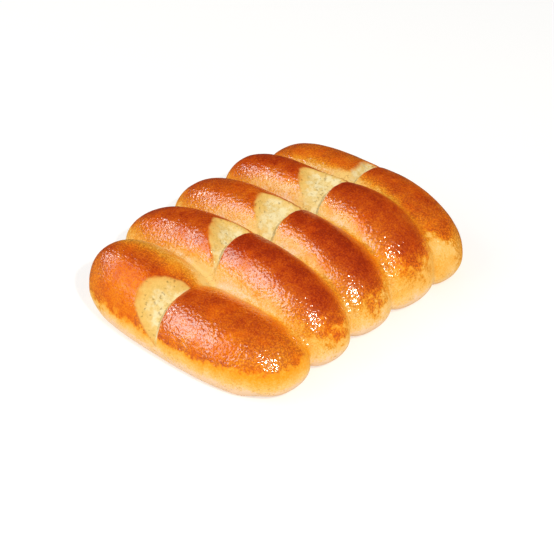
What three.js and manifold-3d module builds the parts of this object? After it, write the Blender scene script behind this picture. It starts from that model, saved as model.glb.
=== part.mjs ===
// Ticino bread: five batons of white dough baked side by side into one loaf.
// One slanting cut runs across all of them, so each baton has a smooth crumb face on its left half,
// sunk below the raised lip where its right half starts. Millimetres, +Z up, rows of batons along +Y.
import * as THREE from "three";
import { ParametricGeometry } from "three/addons/geometries/ParametricGeometry.js";
import { mergeVertices } from "three/addons/utils/BufferGeometryUtils.js";
import Module from "manifold-3d";

// The batons, from the near side of the loaf to the far side.
// lip: where the cut's lip stands along the baton, row: where its middle stands across the loaf.
// left, right: how far it runs each way from the lip. Widths are half widths, crowns are heights.
// shift: how far the end's tip is off the middle. round: how boxy the left crown is seen from the side.
// leftPlan, rightPlan: how boxy the outline is from above, on the far side and on the near side, where
// 2 is an ellipse. inset: how far the flat base stays inside the widest part.
// face: length of the crumb face; sink, dip: how much the left and right crowns fall beside the cut.
// arc: where the face starts, is full, fades and ends, in degrees round the section: 0 is the far side,
// 90 the crown and 180 the near side. flare: how much longer the face is towards the crown.
const BATONS = [
  {
    lip: 4, row: -85, left: 77, right: 84, leftWidth: 29, rightWidth: 29, leftCrown: 51, rightCrown: 41,
    leftShift: -2, rightShift: 10, round: 3.2, leftPlan: [3.2, 2.9], rightPlan: [2.8, 3.9],
    nearInset: 7, farInset: 3, face: 23.5, flare: 0.05, sink: 0.27, dip: 0.29, arc: [76, 135, 143, 182],
  },
  {
    lip: 1, row: -38, left: 93, right: 85, leftWidth: 26, rightWidth: 26, leftCrown: 53, rightCrown: 53,
    leftShift: -3.5, rightShift: 0, round: 2.2, leftPlan: [2.8, 3.3], rightPlan: [2.8, 5.0],
    nearInset: 3, farInset: 3, face: 20, flare: 0.45, sink: 0.03, dip: 0.02, arc: [57, 83, 102, 155],
  },
  {
    lip: 5.5, row: 3.5, left: 100, right: 77, leftWidth: 24.5, rightWidth: 26.5, leftCrown: 53,
    rightCrown: 52.5, leftShift: 0, rightShift: -3, round: 2.4, leftPlan: [3.9, 3.5], rightPlan: [3.1, 6.1],
    nearInset: 2.5, farInset: 3, face: 27, flare: 0.3, sink: 0.03, dip: 0.02, arc: [63, 89, 109, 162],
  },
  {
    lip: 6, row: 44, left: 96.5, right: 76, leftWidth: 22, rightWidth: 30, leftCrown: 53, rightCrown: 58,
    leftShift: 1, rightShift: -4, round: 2.8, leftPlan: [4.0, 4.2], rightPlan: [3.0, 5.4],
    nearInset: 3, farInset: 3, face: 29, flare: 0.3, sink: 0, dip: 0.02, arc: [60, 91, 109, 164],
  },
  {
    lip: 0, row: 80, left: 87, right: 80, leftWidth: 25.5, rightWidth: 28, leftCrown: 47, rightCrown: 48,
    leftShift: -0.5, rightShift: -8, round: 2.4, leftPlan: [3.7, 3.1], rightPlan: [2.8, 4.2],
    nearInset: 3, farInset: 5.5, face: 10, flare: 0.2, sink: 0.04, dip: 0.02, arc: [52, 75, 100, 140],
  },
];

const BULGE_HEIGHT = 12; // where a baton is widest
const END_INSET = 9; // how far the flat base stops short of a baton's ends
const END_CURL = 26; // length over which the base's corners widen into a rounded end
const BASE_CORNER = 0.22; // share of the lower outline that rounds into the flat base
const RIGHT_ROUND = 2.4; // how boxy the right crowns are from the side
const SECTION_ROUND = 2.25; // how boxy a section is
const BLEND = 30; // length over which the left half's widths turn into the right half's
const LEFT_FALL = 26; // lengths over which the crowns fall towards the cut
const RIGHT_FALL = 16;
const FACE_DEPTH = 0.2; // depth of the crumb face at the foot of the lip, as a share of the section
const BARE_STEP = 0.05; // small step where the crust runs on past the crumb face
const LIP_LEAN = 1.5; // how far the lip leans over the crumb face
const BARE_LENGTH = 5; // length kept for the cut's rows where there is no crumb face

const FLARE_MIDDLE = 105; // degrees where a flared face has its plain length
const FLARE_SPAN = 25; // degrees to either side where the flare is full

const UPPER_STEPS = 26; // steps over the top of a section
const CORNER_STEPS = 3; // steps in each corner of its base
const HALF_STEPS = 12; // rows along each half of a baton
const FACE_STEPS = 5;
const LIP_STEPS = 2;

const { lerp, smoothstep, clamp, degToRad } = THREE.MathUtils;
const wasm = await Module();
wasm.setup();

// Superellipse: the height over a unit half width at a share along it.
function outline(share, exponent) {
  return Math.pow(Math.max(0, 1 - Math.pow(share, exponent)), 1 / exponent);
}

// The angles of one section in degrees, over the crown first and then under the base.
function sectionAngles() {
  const angles = [];
  for (let i = 0; i <= UPPER_STEPS; i++) angles.push((180 * i) / UPPER_STEPS);
  const corner = 180 * BASE_CORNER;
  for (let i = 1; i <= CORNER_STEPS; i++) angles.push(180 + (corner * i) / CORNER_STEPS);
  angles.push(270);
  for (let i = CORNER_STEPS; i >= 0; i--) angles.push(360 - (corner * i) / CORNER_STEPS);
  return angles;
}

// The rows along a baton: its left half, the crumb face, the lip and its right half.
function batonRows() {
  const rows = [];
  for (let i = HALF_STEPS; i >= 0; i--) {
    rows.push({ zone: "left", share: Math.sin((Math.PI / 2) * (i / HALF_STEPS)) });
  }
  for (let i = 1; i <= FACE_STEPS; i++) rows.push({ zone: "face", share: i / FACE_STEPS });
  for (let i = 1; i <= LIP_STEPS; i++) rows.push({ zone: "lip", share: i / LIP_STEPS });
  for (let i = 1; i <= HALF_STEPS; i++) {
    rows.push({ zone: "right", share: Math.sin((Math.PI / 2) * (i / HALF_STEPS)) });
  }
  return rows;
}

// Where a row crosses one angle of the section: distance past the lip, and share of the full radius.
function rowPoint(baton, degrees, row) {
  const [start, full, fading, end] = baton.arc;
  const top = Math.max(0, Math.sin(degToRad(degrees)));
  const open = smoothstep(degrees, start, full) * (1 - smoothstep(degrees, fading, end));
  const flare = baton.flare * clamp((FLARE_MIDDLE - degrees) / FLARE_SPAN, -1, 1);
  const length = lerp(BARE_LENGTH, baton.face * (1 + flare), open);
  const drop = FACE_DEPTH * Math.pow(open, 0.7) + BARE_STEP * top;
  const foot = 1 - baton.sink * top - drop;
  const brow = Math.max(1 - baton.dip * top, foot + 0.03 * top);
  const lean = lerp(2, -LIP_LEAN, top);
  if (row.zone === "left" || row.zone === "face") {
    const onFace = row.zone === "face" ? row.share : 0;
    const x = row.zone === "face" ? -length * (1 - row.share) : -lerp(length, baton.left, row.share);
    return { x, radius: 1 - baton.sink * top * Math.exp(x / LEFT_FALL) - drop * onFace };
  }
  if (row.zone === "lip") {
    return { x: lean * row.share, radius: lerp(foot, brow, row.share) };
  }
  const along = row.share * baton.right;
  return { x: lerp(lean, baton.right, row.share), radius: 1 - (1 - brow) * Math.exp(-along / RIGHT_FALL) };
}

// The point of a baton's skin at one angle of one row.
function skinPoint(baton, degrees, row, target) {
  const { x, radius } = rowPoint(baton, degrees, row);
  const rightness = smoothstep(x, -BLEND, BLEND);
  const reach = x < 0 ? baton.left : baton.right;
  const share = clamp(Math.abs(x) / reach, 0, 1);
  const nearSide = degrees > 90 && degrees < 270 ? 1 : 0;
  const plan = outline(share, lerp(baton.leftPlan[nearSide], baton.rightPlan[nearSide], rightness));
  const rise = outline(share, lerp(baton.round, RIGHT_ROUND, rightness));
  const halfWidth = lerp(baton.leftWidth, baton.rightWidth, rightness) * plan;
  const crown = lerp(baton.leftCrown, baton.rightCrown, rightness) - BULGE_HEIGHT;
  const shift = (x < 0 ? baton.leftShift : baton.rightShift) * share * share;
  const middle = baton.row + shift;
  if (degrees <= 180) {
    const angle = degToRad(degrees);
    const power = 2 / SECTION_ROUND;
    const across = Math.sign(Math.cos(angle)) * Math.pow(Math.abs(Math.cos(angle)), power);
    const up = Math.pow(Math.abs(Math.sin(angle)), power);
    target.set(
      baton.lip + x,
      middle + halfWidth * across * radius,
      BULGE_HEIGHT + crown * rise * up * radius,
    );
    return;
  }
  const turn = (degrees - 180) / 180;
  const corner = Math.min(turn, 1 - turn) / BASE_CORNER;
  const bend = Math.min(corner, 1) * (Math.PI / 2);
  const near = turn < 0.5;
  const side = Math.min(near ? baton.nearInset : baton.farInset, halfWidth);
  const inset = lerp(side, halfWidth, smoothstep(Math.abs(x), reach - END_CURL, reach));
  const onBase = corner > 1 + 1e-9 ? 0 : halfWidth - inset * (1 - Math.cos(bend));
  const past = clamp((Math.abs(x) - (reach - END_INSET)) / END_INSET, 0, 1);
  const reachDown = Math.sqrt(1 - past * past);
  target.set(
    baton.lip + x,
    middle + (near ? -1 : 1) * onBase,
    BULGE_HEIGHT * (1 - Math.sin(bend) * reachDown),
  );
}

// One baton as a closed solid: the seam and both tips of the skin are welded.
function batonSolid(baton) {
  const angles = sectionAngles();
  const rows = batonRows();
  const skin = new ParametricGeometry(
    (u, v, target) => {
      const degrees = angles[Math.round(u * (angles.length - 1))];
      const row = rows[Math.round(v * (rows.length - 1))];
      skinPoint(baton, degrees, row, target);
    },
    angles.length - 1,
    rows.length - 1,
  );
  skin.deleteAttribute("normal");
  skin.deleteAttribute("uv");
  const welded = mergeVertices(skin, 1e-4);
  const faces = [];
  for (let i = 0; i < welded.index.count; i += 3) {
    const [a, b, c] = [0, 1, 2].map((k) => welded.index.getX(i + k));
    if (a !== b && b !== c && c !== a) faces.push(a, b, c);
  }
  const mesh = new wasm.Mesh({
    numProp: 3,
    vertProperties: new Float32Array(welded.attributes.position.array),
    triVerts: new Uint32Array(faces),
  });
  return new wasm.Manifold(mesh);
}

// The batons joined, with the loaf's middle over the origin and its base on the ground.
function loafGeometry() {
  const joined = BATONS.map(batonSolid).reduce((loaf, baton) => loaf.add(baton));
  const { vertProperties, triVerts } = joined.getMesh();
  const geometry = new THREE.BufferGeometry();
  geometry.setAttribute("position", new THREE.BufferAttribute(vertProperties, 3));
  geometry.setIndex(new THREE.BufferAttribute(triVerts, 1));
  geometry.computeBoundingBox();
  const { min, max } = geometry.boundingBox;
  geometry.translate(-(min.x + max.x) / 2, -(min.y + max.y) / 2, -min.z);
  geometry.computeVertexNormals();
  return geometry;
}

const crust = new THREE.MeshStandardMaterial({ color: 0xc8742a, roughness: 0.38 });
const loaf = new THREE.Mesh(loafGeometry(), crust);
loaf.name = "loaf";

const bread = new THREE.Group();
bread.name = "ticino_bread";
bread.add(loaf);

export default bread;
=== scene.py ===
import math

import bpy
import numpy as np
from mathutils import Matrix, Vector, kdtree


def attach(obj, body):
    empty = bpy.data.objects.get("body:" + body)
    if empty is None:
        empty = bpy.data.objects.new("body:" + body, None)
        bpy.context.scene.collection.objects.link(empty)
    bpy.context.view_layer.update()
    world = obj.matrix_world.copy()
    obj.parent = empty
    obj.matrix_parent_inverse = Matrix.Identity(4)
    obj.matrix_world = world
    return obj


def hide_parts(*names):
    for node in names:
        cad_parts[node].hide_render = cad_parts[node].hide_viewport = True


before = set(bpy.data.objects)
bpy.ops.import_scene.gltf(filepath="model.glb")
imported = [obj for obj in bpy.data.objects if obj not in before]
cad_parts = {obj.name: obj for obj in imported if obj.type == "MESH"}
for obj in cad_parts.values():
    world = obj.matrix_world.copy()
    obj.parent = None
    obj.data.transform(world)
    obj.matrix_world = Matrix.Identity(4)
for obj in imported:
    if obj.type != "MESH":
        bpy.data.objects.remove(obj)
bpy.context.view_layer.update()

# The view: from the loaf's near right corner, a little over a third of the way up to overhead and
# just over a metre away. The frame is a square, in which the loaf sits slightly off the middle.
VIEW_AZIMUTH = 44.6
VIEW_ELEVATION = 35.2
VIEW_DISTANCE = 1.10
VIEW_AIM = Vector((0.00325, 0.00338, 0.0))
SENSOR_WIDTH = 36.0
FRAME_PIXELS = 554
PIXELS_PER_METRE = 1566
FRAME_OFFSET = (-5.8, 2.9)

azimuth = math.radians(VIEW_AZIMUTH)
elevation = math.radians(VIEW_ELEVATION)
toward_camera = Vector((
    math.sin(azimuth) * math.cos(elevation),
    -math.cos(azimuth) * math.cos(elevation),
    math.sin(elevation),
))
camera_data = bpy.data.cameras.new("camera")
camera_data.sensor_width = SENSOR_WIDTH
camera_data.lens = PIXELS_PER_METRE * VIEW_DISTANCE * SENSOR_WIDTH / FRAME_PIXELS
camera_data.shift_x = FRAME_OFFSET[0] / FRAME_PIXELS
camera_data.shift_y = FRAME_OFFSET[1] / FRAME_PIXELS
camera = bpy.data.objects.new("camera", camera_data)
camera.location = VIEW_AIM + toward_camera * VIEW_DISTANCE
camera.rotation_euler = (-toward_camera).to_track_quat("-Z", "Y").to_euler()
bpy.context.collection.objects.link(camera)
bpy.context.scene.camera = camera
bpy.context.scene.view_settings.view_transform = "Standard"

# The light: a big soft box on the near left lays the broad gloss on the flanks that face it, a small
# window shines from the left, and a small lamp high on the right makes the bright glints.
SOFT_LIGHTS = {
    # name: (direction from the loaf, distance, width, height, watts, colour)
    "soft_box_left": ((-0.48, -0.68, 0.55), 1.3, 1.10, 1.15, 6.0, (1.0, 0.99, 0.95)),
    "window_left": ((-0.95, -0.20, 0.42), 1.4, 0.20, 0.26, 0.9, (1.0, 0.98, 0.95)),
    "lamp_right": ((0.642, -0.266, 0.719), 1.15, 0.05, 0.05, 5.6, (1.0, 0.96, 0.84)),
}
for name, (direction, distance, width, height, watts, colour) in SOFT_LIGHTS.items():
    lamp_data = bpy.data.lights.new(name, "AREA")
    lamp_data.shape = "RECTANGLE"
    lamp_data.size = width
    lamp_data.size_y = height
    lamp_data.energy = watts
    lamp_data.color = colour
    lamp = bpy.data.objects.new(name, lamp_data)
    away = Vector(direction).normalized()
    lamp.location = away * distance
    lamp.rotation_euler = (-away).to_track_quat("-Z", "Y").to_euler()
    bpy.context.collection.objects.link(lamp)

# The room is pale, but its walls are far off, so almost nothing of it shows in the gloss.
ROOM_COLOUR = (1.0, 0.99, 0.98, 1.0)
ROOM_LIGHT = 0.60
ROOM_IN_GLOSS = 0.002
room = bpy.data.worlds.new("pale_room")
room.use_nodes = True
room_nodes = room.node_tree.nodes
walls = room_nodes["Background"]
walls.inputs["Color"].default_value = ROOM_COLOUR
room_ray = room_nodes.new("ShaderNodeLightPath")
wall_light = room_nodes.new("ShaderNodeMapRange")
wall_light.inputs["To Min"].default_value = ROOM_LIGHT
wall_light.inputs["To Max"].default_value = ROOM_IN_GLOSS
room.node_tree.links.new(room_ray.outputs["Is Glossy Ray"], wall_light.inputs["Value"])
room.node_tree.links.new(wall_light.outputs["Result"], walls.inputs["Strength"])
bpy.context.scene.world = room

# The floor: a plain pale sheet that the loaf stands on. It glows a little, so that it stays pale under
# the loaf, and the glaze sees it dark, so that it doesn't haze the crust.
FLOOR_REACH = 4.0
FLOOR_GLOW = 0.5
FLOOR_COLOUR = (0.55, 0.55, 0.55, 1.0)
FLOOR_IN_GLOSS = (0.04, 0.04, 0.04, 1.0)
FLOOR_ROUGHNESS = 0.9
FLOOR_SPECULAR = 0.1
floor_mesh = bpy.data.meshes.new("floor")
floor_mesh.from_pydata(
    [(-FLOOR_REACH, -FLOOR_REACH, 0), (FLOOR_REACH, -FLOOR_REACH, 0),
     (FLOOR_REACH, FLOOR_REACH, 0), (-FLOOR_REACH, FLOOR_REACH, 0)],
    [], [(0, 1, 2, 3)],
)
floor = bpy.data.objects.new("floor", floor_mesh)
bpy.context.collection.objects.link(floor)
floor_paint = bpy.data.materials.new("floor_paint")
floor_paint.use_nodes = True
floor_nodes = floor_paint.node_tree.nodes
floor_links = floor_paint.node_tree.links
floor_shader = floor_nodes["Principled BSDF"]
floor_shader.inputs["Roughness"].default_value = FLOOR_ROUGHNESS
floor_shader.inputs["Specular IOR Level"].default_value = FLOOR_SPECULAR
floor_shader.inputs["Emission Color"].default_value = (1.0, 1.0, 1.0, 1.0)
floor_ray = floor_nodes.new("ShaderNodeLightPath")
floor_glow = floor_nodes.new("ShaderNodeMapRange")
floor_glow.inputs["To Min"].default_value = FLOOR_GLOW
floor_glow.inputs["To Max"].default_value = 0.0
floor_links.new(floor_ray.outputs["Is Glossy Ray"], floor_glow.inputs["Value"])
floor_links.new(floor_glow.outputs["Result"], floor_shader.inputs["Emission Strength"])
floor_tone = floor_nodes.new("ShaderNodeMix")
floor_tone.data_type = "RGBA"
floor_tone.inputs["A"].default_value = FLOOR_COLOUR
floor_tone.inputs["B"].default_value = FLOOR_IN_GLOSS
floor_links.new(floor_ray.outputs["Is Glossy Ray"], floor_tone.inputs["Factor"])
floor_links.new(floor_tone.outputs["Result"], floor_shader.inputs["Base Color"])
floor_mesh.materials.append(floor_paint)

# The loaf: five batons of soft white dough, laid side by side to prove and baked until they fuse. One
# slanting cut goes across all of them: the left half of each shows a smooth crumb face that sinks under
# the raised lip of the right half. Millimetres and degrees, from the near side to the far side.
MM = 0.001
# lip is where the lip stands along the baton, and row is the baton's place in the row. left and right
# are how far the two halves reach from the lip; width is half the width, crown the height, shift how far
# the tip strays along the row, and plan how full the outline is on the far and near side. round is how
# full the left half is seen from the side, and the insets are how far the base is drawn in. face is the
# length of the crumb face, flare how much longer it is at the crown, sink and dip how far the left half
# and the lip sink at the cut, as shares of the radius, and arc the angles at which the cut opens, gapes,
# narrows and ends.
BATONS = [
    dict(lip=4, row=-85, left=77, right=84, left_width=29, right_width=29, left_crown=51, right_crown=41,
         left_shift=-2, right_shift=10, round=3.2, left_plan=(3.2, 2.9), right_plan=(2.8, 3.9),
         near_inset=7, far_inset=3, face=23.5, flare=0.05, sink=0.27, dip=0.29, arc=(76, 135, 143, 182)),
    dict(lip=1, row=-38, left=93, right=85, left_width=26, right_width=26, left_crown=53, right_crown=53,
         left_shift=-3.5, right_shift=0, round=2.2, left_plan=(2.8, 3.3), right_plan=(2.8, 5.0),
         near_inset=3, far_inset=3, face=20, flare=0.45, sink=0.03, dip=0.02, arc=(57, 83, 102, 155)),
    dict(lip=5.5, row=3.5, left=100, right=77, left_width=24.5, right_width=26.5, left_crown=53,
         right_crown=52.5, left_shift=0, right_shift=-3, round=2.4, left_plan=(3.9, 3.5),
         right_plan=(3.1, 6.1),
         near_inset=2.5, far_inset=3, face=27, flare=0.3, sink=0.03, dip=0.02, arc=(63, 89, 109, 162)),
    dict(lip=6, row=44, left=96.5, right=76, left_width=22, right_width=30, left_crown=53, right_crown=58,
         left_shift=1, right_shift=-4, round=2.8, left_plan=(4.0, 4.2), right_plan=(3.0, 5.4),
         near_inset=3, far_inset=3, face=29, flare=0.3, sink=0, dip=0.02, arc=(60, 91, 109, 164)),
    dict(lip=0, row=80, left=87, right=80, left_width=25.5, right_width=28, left_crown=47, right_crown=48,
         left_shift=-0.5, right_shift=-8, round=2.4, left_plan=(3.7, 3.1), right_plan=(2.8, 4.2),
         near_inset=3, far_inset=5.5, face=10, flare=0.2, sink=0.04, dip=0.02, arc=(52, 75, 100, 140)),
]
BULGE_HEIGHT = 12  # height at which a baton is widest
TIP_LIFT = 9  # length over which the base curls up at each tip
TIP_NARROWING = 26  # length over which the base is drawn in to a point there
BASE_CORNER = 0.22  # share of the lower half turn that each rounded corner of the base takes
RIGHT_ROUND = 2.4  # how full the right halves are seen from the side
SECTION_ROUND = 2.25  # and how full each baton is in section
BLEND = 30  # the two halves blend over this length on either side of the lip
LEFT_FALL = 26  # length over which the left half sinks towards the cut
RIGHT_FALL = 16  # and the right half towards its lip
FACE_DEPTH = 0.20  # depth of the crumb face at the foot of the lip, as a share of the radius
FACE_SWELL = 0.7  # below 1, the face deepens fast where the cut opens
BARE_STEP = 0.05  # depth of the step where the cut is shut, as a share of the radius
LEAST_LIP = 0.03  # least height of the lip, as a share of the radius
LIP_SPREAD = 2  # how far the lip stands off the cut low on the sides
LIP_LEAN = 1.5  # and how far it leans out over the face at the crown
BARE_LENGTH = 5  # length of the face where the cut is shut
FLARE_MIDDLE = 105  # angle at which the face has its mean length
FLARE_SPAN = 25  # and how far from it the length changes in full
LIP_CRUMB = 0.4  # how far the crumb turns over the lip's brow
CRUMB_FADE = 1.5  # how fast it ends there
CRUMB_FULL = 3.0  # depth from the crumb's edge at which all is crumb
EDGE_TAPER = 4  # how far the crumb's edge draws back where the cut shuts
EDGE_SWELL = 0.4  # below 1, the edge comes forward fast where the cut opens
HALF_ROWS = 90  # rows of points along each half, the face and the lip, and points round the section
FACE_ROWS = 36
LIP_ROWS = 6
SECTION_STEPS = 260
SKIN_VOXEL = 1.15 * MM


def ease(value, start, end):
    """Smooth step from 0 at start to 1 at end."""
    t = np.clip((value - start) / (end - start), 0, 1)
    return t * t * (3 - 2 * t)


def outline(share, exponent):
    """Half width left at a share of the reach: the higher the exponent, the fuller the outline."""
    return np.maximum(0, 1 - share ** exponent) ** (1 / exponent)


def crown_share(degrees):
    """1 at the crown, falling to 0 at the shoulders and all round the lower half."""
    return np.where(degrees <= 180, np.maximum(0, np.sin(np.radians(degrees))), 0)


def brow_line(degrees):
    """Where the lip's brow stands along the baton, at each angle."""
    return LIP_SPREAD - (LIP_SPREAD + LIP_LEAN) * crown_share(degrees)


def face_opening(baton, degrees):
    """How far the cut gapes at each angle of the section, from 0 to 1."""
    start, full, fading, end = baton["arc"]
    opening = ease(degrees, start, full) * (1 - ease(degrees, fading, end))
    return np.where(degrees <= 180, opening, 0)


def face_length(baton, degrees):
    """How far the crumb face would reach from the lip at each angle: further on the crown side."""
    return baton["face"] * (1 + baton["flare"] * np.clip((FLARE_MIDDLE - degrees) / FLARE_SPAN, -1, 1))


def baton_rows(baton, degrees):
    """Distance past the lip and share of the full radius of each row, at each angle."""
    top = crown_share(degrees)
    opening = face_opening(baton, degrees)
    length = BARE_LENGTH + (face_length(baton, degrees) - BARE_LENGTH) * opening
    drop = FACE_DEPTH * opening ** FACE_SWELL + BARE_STEP * top
    foot = 1 - baton["sink"] * top - drop
    brow = np.maximum(1 - baton["dip"] * top, foot + LEAST_LIP * top)
    lean = brow_line(degrees)
    rows = []
    # The left half, from its tip to the edge of the face.
    for share in np.sin(np.linspace(np.pi / 2, 0, HALF_ROWS)):
        x = -(length + (baton["left"] - length) * share)
        rows.append((x, 1 - baton["sink"] * top * np.exp(x / LEFT_FALL)))
    # The crumb face, down to the foot of the lip, and the lip up to its brow.
    for share in np.linspace(0, 1, FACE_ROWS)[1:]:
        x = -length * (1 - share)
        rows.append((x, 1 - baton["sink"] * top * np.exp(x / LEFT_FALL) - drop * share))
    for share in np.linspace(0, 1, LIP_ROWS)[1:]:
        rows.append((lean * share, foot + (brow - foot) * share))
    # The right half, from the brow to its tip.
    for share in np.sin(np.linspace(0, np.pi / 2, HALF_ROWS))[1:]:
        along = share * baton["right"]
        rows.append((lean + (baton["right"] - lean) * share,
                     1 - (1 - brow) * math.exp(-along / RIGHT_FALL)))
    return [np.array(column) for column in zip(*rows)]


def baton_skin(baton):
    """Grid of points (rows, angles, 3) of one baton's skin, in millimetres, and what each one is: how
    deep in the crumb, how far in from the crumb's edge, past the lip, round the section and to the tip."""
    degrees = np.linspace(0, 360, SECTION_STEPS, endpoint=False)
    x, radius = baton_rows(baton, degrees)
    rightness = ease(x, -BLEND, BLEND)
    reach = np.where(x < 0, baton["left"], baton["right"])
    share = np.clip(np.abs(x) / reach, 0, 1)
    near_side = ((degrees > 90) & (degrees < 270)).astype(int)
    left_plan = np.array(baton["left_plan"])[near_side]
    right_plan = np.array(baton["right_plan"])[near_side]
    plan = outline(share, left_plan + (right_plan - left_plan) * rightness)
    rise = outline(share, baton["round"] + (RIGHT_ROUND - baton["round"]) * rightness)
    half_width = (baton["left_width"] * (1 - rightness) + baton["right_width"] * rightness) * plan
    crown = baton["left_crown"] * (1 - rightness) + baton["right_crown"] * rightness - BULGE_HEIGHT
    shift = np.where(x < 0, baton["left_shift"], baton["right_shift"]) * share ** 2
    # The upper half is a full rounded section.
    angle = np.radians(degrees)
    power = 2 / SECTION_ROUND
    over = degrees <= 180
    across = np.sign(np.cos(angle)) * np.abs(np.cos(angle)) ** power
    up = np.abs(np.sin(angle)) ** power
    # The lower half turns in two rounded corners to a flat base, which curls up and narrows at the tips.
    turn = np.clip((degrees - 180) / 180, 0, 1)
    corner = np.minimum(turn, 1 - turn) / BASE_CORNER
    bend = np.clip(corner, 0, 1) * math.pi / 2
    near = turn < 0.5
    flat = np.clip((corner - 1) / (0.5 / BASE_CORNER - 1), 0, 1)
    side = np.minimum(np.where(near, baton["near_inset"], baton["far_inset"]), half_width)
    inset = side + (half_width - side) * ease(np.abs(x), reach - TIP_NARROWING, reach)
    on_base = (half_width - inset * (1 - np.cos(bend))) * (1 - flat)
    past = np.clip((np.abs(x) - (reach - TIP_LIFT)) / TIP_LIFT, 0, 1)
    y = np.where(over, half_width * across * radius, np.where(near, -1, 1) * on_base)
    z = np.where(over, BULGE_HEIGHT + crown * rise * up * radius,
                 BULGE_HEIGHT * (1 - np.sin(bend) * np.sqrt(1 - past ** 2)))
    points = np.stack([baton["lip"] + x, baton["row"] + shift + y, z], axis=2)
    # The crumb covers the face, the wall of the lip and a hair's breadth over its brow.
    opening = face_opening(baton, degrees)
    face = (face_length(baton, degrees) + EDGE_TAPER) * opening ** EDGE_SWELL - EDGE_TAPER
    on_skin = np.arange(len(x))[:, None] >= HALF_ROWS + FACE_ROWS + LIP_ROWS - 2
    over_brow = LIP_CRUMB - CRUMB_FADE * (x - brow_line(degrees))
    crumb = np.minimum(face + x, np.where(on_skin, over_brow, CRUMB_FULL))
    marks = np.stack([crumb, face + x, x, np.broadcast_to(degrees, x.shape), x / reach], axis=2)
    return points, marks


def closed_grid(points, offset):
    """Vertices and faces of a grid that closes round its angles and at both of its tips."""
    rows, steps, _ = points.shape
    ring = np.arange(1, rows - 1)[:, None] * steps + np.arange(steps)[None, :] - steps + 2
    vertices = np.concatenate([points[:1, 0], points[-1:, 0], points[1:-1].reshape(-1, 3)])
    a, b = ring[:-1], np.roll(ring, -1, axis=1)[:-1]
    c, d = np.roll(ring, -1, axis=1)[1:], ring[1:]
    quads = np.stack([a, b, c, d], axis=2).reshape(-1, 4)
    first, last = ring[0], ring[-1]
    caps = [(0, int(q), int(p)) for p, q in zip(first, np.roll(first, -1))]
    caps += [(1, int(p), int(q)) for p, q in zip(last, np.roll(last, -1))]
    faces = [tuple(int(v) + offset for v in face) for face in quads]
    return vertices, faces + [tuple(v + offset for v in cap) for cap in caps]


skins = [baton_skin(baton) for baton in BATONS]
low = np.min([points.reshape(-1, 3).min(0) for points, _ in skins], axis=0)
high = np.max([points.reshape(-1, 3).max(0) for points, _ in skins], axis=0)
centre = np.array([(low[0] + high[0]) / 2, (low[1] + high[1]) / 2, low[2]])
vertices, faces = [], []
for points, _ in skins:
    grid_vertices, grid_faces = closed_grid(points - centre, sum(len(v) for v in vertices))
    vertices.append(grid_vertices)
    faces.extend(grid_faces)
dough_mesh = bpy.data.meshes.new("batons")
dough_mesh.from_pydata((np.concatenate(vertices) * MM).tolist(), [], faces)
dough = bpy.data.objects.new("batons", dough_mesh)
bpy.context.collection.objects.link(dough)
remesh = dough.modifiers.new("fused", "REMESH")
remesh.mode = "VOXEL"
remesh.voxel_size = SKIN_VOXEL
fused = bpy.data.meshes.new_from_object(dough.evaluated_get(bpy.context.evaluated_depsgraph_get()))
bpy.data.objects.remove(dough)
bpy.data.meshes.remove(dough_mesh)
fused.name = "fused_batons"

# The fused skin. Every vertex takes the marks of the nearest point of the batons, so that it knows which
# baton it is on and where on it.
count = len(fused.vertices)
place = np.empty(count * 3)
fused.vertices.foreach_get("co", place)
place = place.reshape(-1, 3) / MM
ends = np.empty(len(fused.edges) * 2, dtype=np.int64)
fused.edges.foreach_get("vertices", ends)
ends = ends.reshape(-1, 2)
valence = np.bincount(ends.ravel(), minlength=count).astype(float)


def neighbour_mean(values):
    """Mean of each vertex's neighbours, for one number or one point per vertex."""
    columns = values.reshape(count, -1)
    out = np.empty_like(columns)
    for k in range(columns.shape[1]):
        column = columns[:, k]
        total = np.bincount(ends[:, 0], column[ends[:, 1]], count)
        total += np.bincount(ends[:, 1], column[ends[:, 0]], count)
        out[:, k] = total / valence
    return out.reshape(values.shape)


def smoothed(values, rounds, share=1.0):
    """Values moved this share of the way to their neighbours' mean, this many times."""
    for _ in range(rounds):
        values = values + share * (neighbour_mean(values) - values)
    return values


def outward(points):
    """Vertex normals of the mesh after its vertices are put at these points."""
    fused.vertices.foreach_set("co", (points * MM).ravel())
    fused.update()
    normals = np.empty(count * 3)
    fused.vertices.foreach_get("normal", normals)
    return normals.reshape(-1, 3)


tree = kdtree.KDTree(sum(p.shape[0] * p.shape[1] for p, _ in skins))
for n, point in enumerate(np.concatenate([(p - centre).reshape(-1, 3) for p, _ in skins])):
    tree.insert(point, n)
tree.balance()
nearest = np.array([tree.find(point)[1] for point in place])
marks = np.concatenate([m.reshape(-1, 5) for _, m in skins])
crumb, inward, past_lip, angle_of, end_share = marks[nearest].T
baton_of = np.concatenate([np.full(p.shape[0] * p.shape[1], n) for n, (p, _) in enumerate(skins)])[nearest]
on_first = baton_of == 0
on_last = baton_of == len(BATONS) - 1

MARK_ROUNDS = 3
crumb = smoothed(crumb, MARK_ROUNDS, 0.5)
inward = smoothed(inward, MARK_ROUNDS, 0.5)
past_lip = smoothed(past_lip, MARK_ROUNDS, 0.5)

# The last baton's short face has a soft edge and no darker rim, and the rim of the three middle faces is
# darker on the crown than on the near side.
LAST_CRUMB = 0.7
LAST_RIM = (1.4, 8.0)
NEAR_RIM = 7.0
crumb = np.where(on_last, LAST_CRUMB * crumb, crumb)
bare = ease(crumb, -1.0, 1.0)
inward = np.where(on_last, LAST_RIM[0] * inward + LAST_RIM[1], inward)
inward += NEAR_RIM * ease(angle_of, 105, 130) * ~(on_first | on_last)

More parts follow.
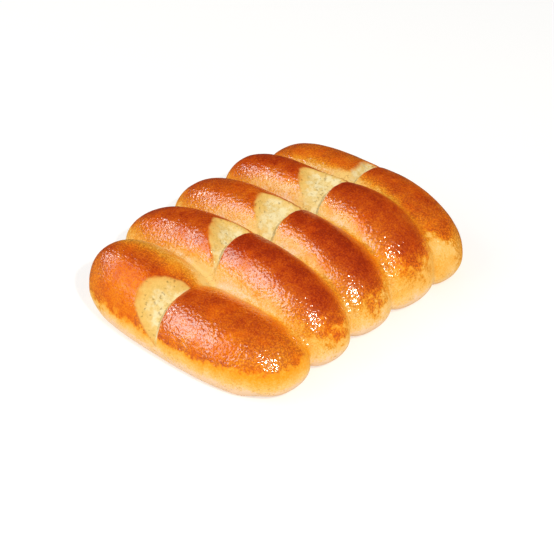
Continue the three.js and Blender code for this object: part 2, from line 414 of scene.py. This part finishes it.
# Where two batons meet, the dough has run together in the oven, so each valley is rounded out, and the
# edges of the crumb keep most of their sharpness. A valley is where a vertex lies below its neighbours.
SKIN_ROUNDS = 2
VALLEY_HOLLOW = 0.10
VALLEY_FLOOR = 1.5
VALLEY_REACH = 8
VALLEY_FALL = 0.9
BARE_KEEPS = 0.6
VALLEY_ROUNDS = 26
VALLEY_SHARE = 0.6
ON_FLOOR = 0.6
place = smoothed(place, SKIN_ROUNDS, 0.5)
hollow = ((neighbour_mean(place) - place) * outward(place)).sum(1)
valley = np.clip(hollow / VALLEY_HOLLOW, 0, 1) * (place[:, 2] > VALLEY_FLOOR)
for _ in range(VALLEY_REACH):
    valley = np.maximum(valley, VALLEY_FALL * neighbour_mean(valley))
valley *= 1 - BARE_KEEPS * bare
place = smoothed(place, VALLEY_ROUNDS, (VALLEY_SHARE * valley)[:, None])
on_floor = place[:, 2] < ON_FLOOR
place[on_floor, 2] = 0
underside = on_floor & (outward(place)[:, 2] < -0.5)
height = place[:, 2]

# How high each vertex stands over the lowest place near it, from a coarse map of the loaf's top. The two
# looks are in cells of the map.
MAP_CELL = 2.0
MAP_HALF = 130
MAP_CELLS = 130
LOOK_ALONG = range(-6, 7, 2)
LOOK_ACROSS = range(-12, 13)
MAP_ROUNDS = 12
columns = ((place[:, :2] + MAP_HALF) / MAP_CELL).astype(int)
roof = np.zeros((MAP_CELLS, MAP_CELLS))
np.maximum.at(roof, (columns[:, 0], columns[:, 1]), height)
lowest = roof.copy()
for dx in LOOK_ALONG:
    for dy in LOOK_ACROSS:
        lowest = np.minimum(lowest, np.roll(roof, (dx, dy), axis=(0, 1)))
for _ in range(MAP_ROUNDS):
    lowest = (lowest + np.roll(lowest, 1, 0) + np.roll(lowest, -1, 0)
              + np.roll(lowest, 1, 1) + np.roll(lowest, -1, 1)) / 5
over_valley = height - lowest[columns[:, 0], columns[:, 1]]

# Browning, from 0 for white dough to 1 for the darkest crust. It follows the angle round each baton,
# where 0 is the far side, 90 the crown and 180 the near side: pairs of angle and browning, the near ones
# a factor on the crown's. A list of five has one value for each baton.
CROWN_BAKE = [(0, 0.14), (30, 0.30), (55, 0.62), (75, 0.86), (95, 0.90), (180, 0.90)]
NEAR_BAKE_LEFT = [(90, 1.0), (110, 0.91), (122, 0.78), (132, 0.60), (142, 0.36), (152, 0.19), (180, 0.12)]
NEAR_BAKE_RIGHT = [(90, 1.0), (110, 0.84), (122, 0.66), (134, 0.46), (145, 0.30), (158, 0.18), (180, 0.12)]
OUTER_NEAR_BAKE = [(90, 1.0), (110, 0.90), (130, 0.80), (150, 0.72), (180, 0.66)]
OUTER_FAR_BAKE = 0.6
BATON_BAKE_LEFT = [0.85, 0.91, 0.83, 0.98, 0.75]
BATON_BAKE_RIGHT = [0.83, 1.02, 1.04, 0.94, 0.83]
BAKE_ROUNDS = 6


def of_baton(values):
    """The value of each vertex's own baton, from a list of five."""
    return np.array(values)[baton_of]


def of_half(left, right):
    """Left on the left halves and right on the right ones, blended at the lip."""
    return left * (1 - rightness) + right * rightness


def by_angle(table):
    """The value at each vertex's angle, from pairs of angle and value."""
    return np.interp(around, *np.array(table).T)


rightness = ease(past_lip, -BLEND, BLEND)
around = np.where(angle_of > 270, 0, np.clip(angle_of, 0, 180))

# The crust turns pale sooner on the near side of the last baton's right end, and on the far side of the
# first baton's left half: by this many degrees.
LAST_TURN = 12
FIRST_TURN = 38
last_end = on_last * ease(end_share, 0.3, 0.8)
around = np.clip(around + LAST_TURN * last_end * ease(around, 60, 90), 0, 180)
first_left = on_first * (1 - rightness)
around = around - FIRST_TURN * first_left * (1 - ease(around, 80, 120)) * ease(around, 20, 65)

flank = of_half(by_angle(NEAR_BAKE_LEFT), by_angle(NEAR_BAKE_RIGHT))
flank = np.where(on_first, by_angle(OUTER_NEAR_BAKE), flank)
bake = by_angle(CROWN_BAKE) * flank * of_half(of_baton(BATON_BAKE_LEFT), of_baton(BATON_BAKE_RIGHT))
outer_far = on_last * ease(-around, -80, -40)
bake = bake * (1 - outer_far) + OUTER_FAR_BAKE * outer_far

# A brow is browned darkest right behind its lip.
LIP_BAKE = 0.16
LIP_BAKE_LENGTH = 16
lip_bake = LIP_BAKE * ease(past_lip, -2, 1) * np.exp(-np.maximum(past_lip, 0) / LIP_BAKE_LENGTH)
lip_bake *= ease(bake, 0.4, 0.8)

# Towards each valley the crust turns pale, from this height over it down, and from higher beside the cut.
VALLEY_BAKE = 0.11
VALLEY_FADE = 5.0
NEAR_FADE_LEFT = [11, 9, 16, 20, 14]
NEAR_FADE_RIGHT = 11
CUT_FADE = 6.0
CUT_FADE_LENGTH = 16
near_fade = of_half(of_baton(NEAR_FADE_LEFT), NEAR_FADE_RIGHT)
fade_height = VALLEY_FADE + (near_fade - VALLEY_FADE) * ease(around, 60, 120)
fade_height += CUT_FADE * np.exp(-(past_lip / CUT_FADE_LENGTH) ** 2)
valley_fade = VALLEY_BAKE + (1 - VALLEY_BAKE) * ease(over_valley, -1.0, fade_height)

# Low on the tips it is pale too, and in the notches between them the crust is darkened: painted shade.
LEFT_END_PALING = 0.38
RIGHT_END_PALING = [0.35, 0.40, 0.55, 0.60, 0.60]
LEFT_END_HEIGHT = 16.0
RIGHT_END_HEIGHT = 22.0
END_FADE = 22.0
PAINTED_NOTCH_SHADE = 0.30
to_tip = np.abs(end_share)
on_right = end_share > 0
paling = np.where(on_right, of_baton(RIGHT_END_PALING), LEFT_END_PALING)
paled_to = np.where(on_right, RIGHT_END_HEIGHT, LEFT_END_HEIGHT)
end_fade = 1 - paling * ease(to_tip, 0.6, 1.0) * (1 - ease(height, paled_to, paled_to + END_FADE))
bake = bake * end_fade * valley_fade + lip_bake
# Painted shade: darker browning low in the notches between the batons near the tips.
bake += PAINTED_NOTCH_SHADE * ease(valley, 0.5, 1.0) * (1 - ease(height, 1.0, 7.0)) * ease(to_tip, 0.7, 0.9)
bake = smoothed(bake, BAKE_ROUNDS)

# The egg wash was brushed on from above, so it ends in an edge low on the outer sides. Here are the
# height of that edge at the left tips, beside the cut and at the right tips, and how soft it is.
WASH_EDGE_LEFT, WASH_EDGE_CUT, WASH_EDGE_RIGHT = 15.0, 18.0, 21.0
FAR_TIPS_HIGHER = 6.0
LAST_NEAR_HIGHER = 10
LAST_FAR_LOWER = 12
EDGE_SOFTNESS = [2.0, 5.0, 5.0, 5.0, 2.5]
LEFT_SOFTER = 2
RIGHT_SOFTER = 1
edge = WASH_EDGE_CUT + (WASH_EDGE_LEFT - WASH_EDGE_CUT) * ease(-end_share, 0.1, 0.9)
edge += (WASH_EDGE_RIGHT - WASH_EDGE_CUT + FAR_TIPS_HIGHER * (baton_of > 2)) * ease(end_share, 0.1, 0.9)
edge += last_end * (LAST_NEAR_HIGHER * ease(around, 95, 130) - LAST_FAR_LOWER * ease(-around, -95, -60))
softer = LEFT_SOFTER * ease(-end_share, 0.2, 0.8) + RIGHT_SOFTER * ease(end_share, 0.4, 0.9) * ~on_first
glaze = smoothed((height - edge) / (of_baton(EDGE_SOFTNESS) * (1 + softer)), 4)

# Below that edge the bare dough is pale at the foot and a little warmer higher up.
PALE_SIDE = [0.33, 0.21, 0.18, 0.22, 0.17]
LAST_END_PALE = 0.08
PAINTED_NOTCH_SHADE_BARE = 0.45
UNDERSIDE_PALE = 0.36
pale = of_baton(PALE_SIDE) * ease(height, 5.0, 21.0)
pale += last_end * LAST_END_PALE * (1 - ease(height, 16, 26))
# Painted shade: the bare dough low in the notches between the batons is browned darker.
pale += PAINTED_NOTCH_SHADE_BARE * ease(valley, 0.8, 1.0) * (1 - ease(height, 2.0, 9.0))
pale = smoothed(np.where(underside, UNDERSIDE_PALE, pale), 2)

# How thick the wash is: thin on the near side of the first baton's left half, and on pale dough.
THIN_PATCH = 0.8
LEAST_WASH = 0.4
thin = on_first * ease(-past_lip, 14, 24) * (1 - ease(-past_lip, 44, 56)) * ease(around, 106, 120)
wash = (1 - THIN_PATCH * thin) * (LEAST_WASH + (1 - LEAST_WASH) * ease(bake, 0.1, 0.4))
wash = smoothed(wash, 4)

# Beside each cut the skin over the valley tore as the loaf rose, and shows cream-coloured dough.
TEAR_AT = -8.0
TEAR_LENGTH = 15.0
TEAR_HEIGHT = 11.0
HIGH_TEAR_HEIGHT = 16.0
tear_height = np.where(np.isin(baton_of, (2, 3)), HIGH_TEAR_HEIGHT, TEAR_HEIGHT)
cream = np.exp(-((past_lip - TEAR_AT) / TEAR_LENGTH) ** 2) * ease(height, 8.0, 16.0)
cream = smoothed(cream * (1 - ease(over_valley, 2.0, tear_height)), 6)

# The relief that comes last fades out at the floor.
lift = ease(height, 0.4, 5.0)
for name, values in {"bake": bake, "pale": pale, "glaze": glaze, "crumb": crumb, "inward": inward,
                     "lift": lift, "wash": wash, "cream": cream}.items():
    layer = fused.attributes.new(name, "FLOAT", "POINT")
    layer.data.foreach_set("value", values.astype(np.float32))

# Crust and crumb: an egg-washed skin, browned and glossy on the crowns and pale in the valleys, and a
# soft matt crumb with small pores in the cuts. Colours are display values from 0 to 255.
BROWNING = [
    (0.00, (247, 210, 172)),
    (0.07, (247, 202, 136)),
    (0.15, (246, 190, 96)),
    (0.30, (243, 160, 36)),
    (0.45, (238, 134, 18)),
    (0.60, (227, 109, 4)),
    (0.75, (208, 84, 0)),
    (0.90, (182, 57, 0)),
    (1.00, (158, 42, 0)),
]
CRUMB_RIM = (224, 154, 66)
CRUMB_BY_RIM = (234, 189, 104)
CRUMB_MIDDLE = (234, 210, 148)
CRUMB_BY_LIP = (241, 229, 186)
CRUMB_FURROW = (206, 170, 84)
CRUMB_PORE = (146, 108, 44)
TORN_SKIN = (243, 208, 128)
TORN_CRACK = (168, 112, 34)
CRUST_FLECK = (176, 112, 30)
CRUST_ROUGHNESS = 0.42
CRUMB_ROUGHNESS = 0.7
SKIN_SPECULAR = 0.05
WASH_ROUGHNESS = 0.16
WASH_IOR = 3.4
BUMP_DEPTH = 1.0 * MM
NOISE_MIDDLE = (0.3, 0.7)  # most of a noise's values lie between these two

crust = bpy.data.materials.new("crust")
crust.use_nodes = True
shader = crust.node_tree.nodes["Principled BSDF"]


def new_node(kind, tree=crust.node_tree, **settings):
    node = tree.nodes.new(kind)
    for key, value in settings.items():
        setattr(node, key, value)
    return node


def plug(value, socket, tree=crust.node_tree):
    """Link an output to a socket, or set the socket to a plain value."""
    if isinstance(value, bpy.types.NodeSocket):
        tree.links.new(value, socket)
    else:
        socket.default_value = value


def reckon(operation, a, b, tree=crust.node_tree):
    """Result of one sum on outputs or plain numbers."""
    node = new_node("ShaderNodeMath", tree, operation=operation)
    plug(a, node.inputs[0], tree)
    plug(b, node.inputs[1], tree)
    return node.outputs[0]


def plus(a, b):
    return reckon("ADD", a, b)


def minus(a, b):
    return reckon("SUBTRACT", a, b)


def times(a, b):
    return reckon("MULTIPLY", a, b)


def attribute(name):
    return new_node("ShaderNodeAttribute", attribute_type="GEOMETRY", attribute_name=name).outputs["Fac"]


def spread(value, low, high, to_low=0.0, to_high=1.0):
    """Map a value from one span to another with eased ends."""
    node = new_node("ShaderNodeMapRange", interpolation_type="SMOOTHSTEP")
    plug(value, node.inputs["Value"])
    node.inputs["From Min"].default_value = low
    node.inputs["From Max"].default_value = high
    node.inputs["To Min"].default_value = to_low
    node.inputs["To Max"].default_value = to_high
    return node.outputs["Result"]


def srgb(colour):
    """Linear colour of a colour written in display values."""
    shares = [channel / 255 for channel in colour]
    return (*(s / 12.92 if s <= 0.04045 else ((s + 0.055) / 1.055) ** 2.4 for s in shares), 1.0)


def blend(factor, base, colour):
    """Base with this much of the other colour over it."""
    node = new_node("ShaderNodeMix", data_type="RGBA")
    plug(factor, node.inputs["Factor"])
    plug(base, node.inputs["A"])
    plug(colour, node.inputs["B"])
    return node.outputs["Result"]


where = new_node("ShaderNodeTexCoord").outputs["Object"]


def clouds(size_mm, detail=2.0, roughness=0.5):
    """Noise from 0 to 1 whose blotches are about this wide."""
    node = new_node("ShaderNodeTexNoise")
    plug(where, node.inputs["Vector"])
    node.inputs["Scale"].default_value = 1 / (size_mm * MM)
    node.inputs["Detail"].default_value = detail
    node.inputs["Roughness"].default_value = roughness
    return node.outputs["Fac"]


def uneven(size_mm, depth, detail=2.0, roughness=0.5):
    """Blotches about this wide that go this far up and down."""
    return spread(clouds(size_mm, detail, roughness), *NOISE_MIDDLE, -depth, depth)


# How browned the crust is: a little more in a rim along the wash's edge, uneven at three sizes, and
# with drips and gaps of the wash.
brown = new_node("ShaderNodeValToRGB")
shades = brown.color_ramp.elements
for element, (position, colour) in zip(shades, (BROWNING[0], BROWNING[-1])):
    element.position, element.color = position, srgb(colour)
for position, colour in BROWNING[1:-1]:
    shades.new(position).color = srgb(colour)
mottle = plus(plus(uneven(14, 0.05), uneven(2.6, 0.025)), uneven(1.0, 0.10, 2, 0.7))
drips = plus(uneven(6, 0.7), uneven(1.8, 0.4))
glaze_height = plus(attribute("glaze"), drips)
glazed = spread(glaze_height, -1.0, 1.0)
rim = minus(spread(glaze_height, -0.8, 0.8), spread(glaze_height, 0.9, 2.6))
browned = plus(plus(attribute("bake"), mottle), times(rim, 0.07))
browned = plus(browned, times(drips, 0.06))
unglazed = plus(attribute("pale"), plus(times(mottle, 0.5), times(drips, 0.03)))
browning = plus(unglazed, times(minus(browned, unglazed), glazed))
plug(browning, brown.inputs["Fac"])

# The crumb: amber at its rim and whiter towards the lip, with furrows and dark pores.
crumb_mask = spread(plus(attribute("crumb"), uneven(4, 0.35)), -1.2, 1.8)
not_crumb = minus(1.0, crumb_mask)
from_rim = plus(attribute("inward"), uneven(4, 1.2))
crumb_rim = blend(spread(from_rim, -1.0, 5.0), srgb(CRUMB_RIM), srgb(CRUMB_BY_RIM))
crumb_face = blend(spread(from_rim, 3.0, 17.0), crumb_rim, srgb(CRUMB_MIDDLE))
furrows = times(spread(clouds(2.2, 3, 0.7), 0.42, 0.60), spread(from_rim, 1.0, 6.0))
furrowed = blend(times(furrows, 0.40), crumb_face, srgb(CRUMB_FURROW))
by_lip = times(spread(clouds(4, 3), 0.40, 0.62), spread(from_rim, 5.0, 14.0))
whitened = blend(times(by_lip, 0.7), furrowed, srgb(CRUMB_BY_LIP))
gathered = spread(clouds(6, 1), 0.40, 0.58)
pores = times(spread(clouds(1.8, 2), 0.57, 0.72), gathered)
pored = blend(times(pores, 0.55), whitened, srgb(CRUMB_PORE))

# The crust: torn cream-coloured dough beside the cut with fine cracks, and flecks on the pale parts.
torn = spread(plus(attribute("cream"), uneven(3, 0.12, 3)), 0.15, 0.75, 0.0, 0.85)
creamy = blend(torn, brown.outputs["Color"], srgb(TORN_SKIN))
from_crack = reckon("ABSOLUTE", minus(clouds(9, 2), 0.5), 0.0)
cracks = times(spread(from_crack, 0.0, 0.014, 0.55, 0.0), spread(attribute("cream"), 0.45, 0.8))
cracked = blend(cracks, creamy, srgb(TORN_CRACK))
flecks = times(times(spread(clouds(1.5, 1), 0.56, 0.70), gathered), spread(browning, 0.34, 0.18))
flecked = blend(times(flecks, 0.35), cracked, srgb(CRUST_FLECK))
plug(blend(crumb_mask, flecked, pored), shader.inputs["Base Color"])
plug(spread(crumb_mask, 0, 1, CRUST_ROUGHNESS, CRUMB_ROUGHNESS), shader.inputs["Roughness"])
shader.inputs["Specular IOR Level"].default_value = SKIN_SPECULAR

# The dried egg wash is a clear coat: unbroken on the darkest crust, broken into specks on the rest,
# thicker and thinner with the strokes of the brush, and missing on torn skin and crumb.
strokes = times(attribute("wash"), spread(clouds(17, 1), 0.36, 0.50, 0.45, 1.0))
unbroken = spread(attribute("bake"), 0.50, 0.88, 0.10, 0.85)
specks = spread(clouds(1.0, 1), 0.38, 0.56)
speckled = plus(unbroken, times(minus(1.0, unbroken), specks))
speckled = times(speckled, spread(attribute("bake"), 0.60, 0.90, 1.0, 0.5))
covered = times(glazed, minus(1.0, torn))
plug(times(times(covered, times(strokes, speckled)), not_crumb), shader.inputs["Coat Weight"])
shader.inputs["Coat Roughness"].default_value = WASH_ROUGHNESS
shader.inputs["Coat IOR"].default_value = WASH_IOR


def domes(size_mm):
    """Square of the distance to the nearest of many scattered points this far apart."""
    node = new_node("ShaderNodeTexVoronoi", feature="F1")
    plug(where, node.inputs["Vector"])
    node.inputs["Scale"].default_value = 1 / (size_mm * MM)
    return reckon("POWER", node.outputs["Distance"], 2.0)


def bumped(relief):
    node = new_node("ShaderNodeBump")
    node.inputs["Strength"].default_value = 1.0
    node.inputs["Distance"].default_value = BUMP_DEPTH
    plug(relief, node.inputs["Height"])
    return node.outputs["Normal"]


# Fine grain: blisters and ripples in the coat, most of them levelled out under it, and a grainy crumb.
skin_grain = plus(times(domes(2.0), -0.22), times(clouds(2.2, 1), 0.55))
crumb_grain = plus(clouds(2.2, 3, 0.7), times(pores, -0.5))
under_coat = plus(times(skin_grain, 0.25), times(times(crumb_grain, 0.6), crumb_mask))
plug(bumped(under_coat), shader.inputs["Normal"])
plug(bumped(skin_grain), shader.inputs["Coat Normal"])

# Relief of the crust. Dough swells unevenly, so the skin has low lumps a few centimetres wide, shallow
# dimples between them and fine ripples, all of it flat again where the loaf sat on the tray. Metres.
RELIEF_INPUTS = [
    ("Swell Height", "NodeSocketFloat", 0.0011),
    ("Swell Size", "NodeSocketFloat", 0.030),
    ("Dimple Height", "NodeSocketFloat", 0.00030),
    ("Dimple Size", "NodeSocketFloat", 0.0085),
    ("Ripple Height", "NodeSocketFloat", 0.00008),
    ("Ripple Size", "NodeSocketFloat", 0.0042),
    ("Seed", "NodeSocketFloat", 4.0),
    ("Crust", "NodeSocketMaterial", crust),
]
relief = bpy.data.node_groups.new("crust_relief", "GeometryNodeTree")
relief.interface.new_socket("Geometry", in_out="INPUT", socket_type="NodeSocketGeometry")
socket_of = {name: relief.interface.new_socket(name, in_out="INPUT", socket_type=kind).identifier
             for name, kind, _ in RELIEF_INPUTS}
relief.interface.new_socket("Geometry", in_out="OUTPUT", socket_type="NodeSocketGeometry")
given = relief.nodes.new("NodeGroupInput").outputs
skin_place = relief.nodes.new("GeometryNodeInputPosition").outputs["Position"]
skin_normal = relief.nodes.new("GeometryNodeInputNormal").outputs["Normal"]
skin_lift = new_node("GeometryNodeInputNamedAttribute", relief, data_type="FLOAT")
skin_lift.inputs["Name"].default_value = "lift"


def wave(part):
    """Height of one kind of unevenness, from its two named inputs."""
    noise = new_node("ShaderNodeTexNoise", relief, noise_dimensions="4D")
    noise.inputs["Detail"].default_value = 1.0
    plug(skin_place, noise.inputs["Vector"], relief)
    plug(given["Seed"], noise.inputs["W"], relief)
    plug(reckon("DIVIDE", 1.0, given[part + " Size"], relief), noise.inputs["Scale"], relief)
    level = reckon("SUBTRACT", noise.outputs["Fac"], 0.5, relief)
    return reckon("MULTIPLY", level, given[part + " Height"], relief)


waves = reckon("ADD", reckon("ADD", wave("Swell"), wave("Dimple"), relief), wave("Ripple"), relief)
lifted = reckon("MULTIPLY", waves, skin_lift.outputs["Attribute"], relief)
push = new_node("ShaderNodeVectorMath", relief, operation="SCALE")
plug(skin_normal, push.inputs[0], relief)
plug(lifted, push.inputs["Scale"], relief)
moved = relief.nodes.new("GeometryNodeSetPosition")
plug(given["Geometry"], moved.inputs["Geometry"], relief)
plug(push.outputs["Vector"], moved.inputs["Offset"], relief)
real = relief.nodes.new("GeometryNodeRealizeInstances")
plug(moved.outputs["Geometry"], real.inputs["Geometry"], relief)
coated = relief.nodes.new("GeometryNodeSetMaterial")
plug(real.outputs["Geometry"], coated.inputs["Geometry"], relief)
plug(given["Crust"], coated.inputs["Material"], relief)
result = relief.nodes.new("NodeGroupOutput")
plug(coated.outputs["Geometry"], result.inputs["Geometry"], relief)

base_skin = bpy.data.objects.new("base_skin", fused)
bpy.context.collection.objects.link(base_skin)
modifier = base_skin.modifiers.new("crust_relief", "NODES")
modifier.node_group = relief
for name, _, value in RELIEF_INPUTS:
    modifier[socket_of[name]] = value
loaf_mesh = bpy.data.meshes.new_from_object(
    base_skin.evaluated_get(bpy.context.evaluated_depsgraph_get()))
bpy.data.objects.remove(base_skin)
loaf_mesh.name = "loaf_skin"
loaf = bpy.data.objects.new("loaf_skin", loaf_mesh)
bpy.context.collection.objects.link(loaf)
for polygon in loaf_mesh.polygons:
    polygon.use_smooth = True
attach(loaf, "root")
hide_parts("loaf")
